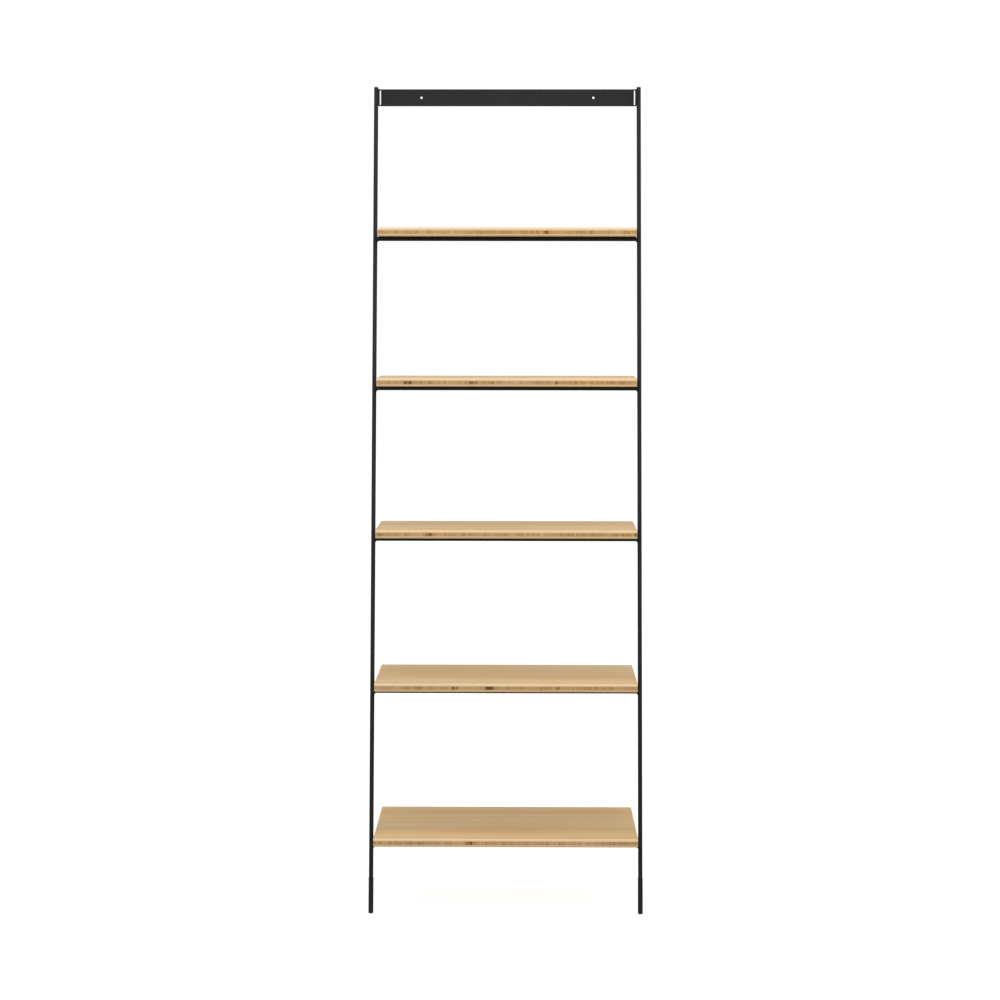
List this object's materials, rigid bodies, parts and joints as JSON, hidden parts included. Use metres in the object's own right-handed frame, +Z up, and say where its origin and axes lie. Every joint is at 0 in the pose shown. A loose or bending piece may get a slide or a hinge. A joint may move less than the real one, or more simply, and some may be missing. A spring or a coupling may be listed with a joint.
{
  "type": "ladder shelf",
  "caption": "Tall leaning ladder shelf with slim black steel uprights, deepening bamboo boards on rungs, and a top plate that screws to the wall.",
  "frame": {"origin": "on the floor, at the middle of the footprint's bounding box", "axes": "+Z up, +Y towards the wall, +X to the right for someone facing the shelf"},
  "size_m": [0.6212, 0.3306, 1.8764],
  "materials": {
    "powder_coated_steel": "fine matt black powder coat",
    "bamboo": "three-ply bamboo board with a clear satin lacquer; the middle ply shows its end grain on the front edge",
    "foot_rubber": "matt black moulded sleeve",
    "screw_steel": "dark zinc-plated countersunk screws"
  },
  "bodies": {
    "root": {"left_upright": "powder_coated_steel", "right_upright": "powder_coated_steel", "left_foot": "foot_rubber", "right_foot": "foot_rubber", "wall_plate": "powder_coated_steel", "rung_1": "powder_coated_steel", "rung_2": "powder_coated_steel", "rung_3": "powder_coated_steel", "rung_4": "powder_coated_steel", "rung_5": "powder_coated_steel", "board_1": "bamboo", "board_2": "bamboo", "board_3": "bamboo", "board_4": "bamboo", "board_5": "bamboo", "left_arm_1": "powder_coated_steel", "left_arm_2": "powder_coated_steel", "left_arm_3": "powder_coated_steel", "left_arm_4": "powder_coated_steel", "left_arm_5": "powder_coated_steel", "right_arm_1": "powder_coated_steel", "right_arm_2": "powder_coated_steel", "right_arm_3": "powder_coated_steel", "right_arm_4": "powder_coated_steel", "right_arm_5": "powder_coated_steel", "weld_beads": "powder_coated_steel", "board_screws": "screw_steel"}
  },
  "joints": []
}
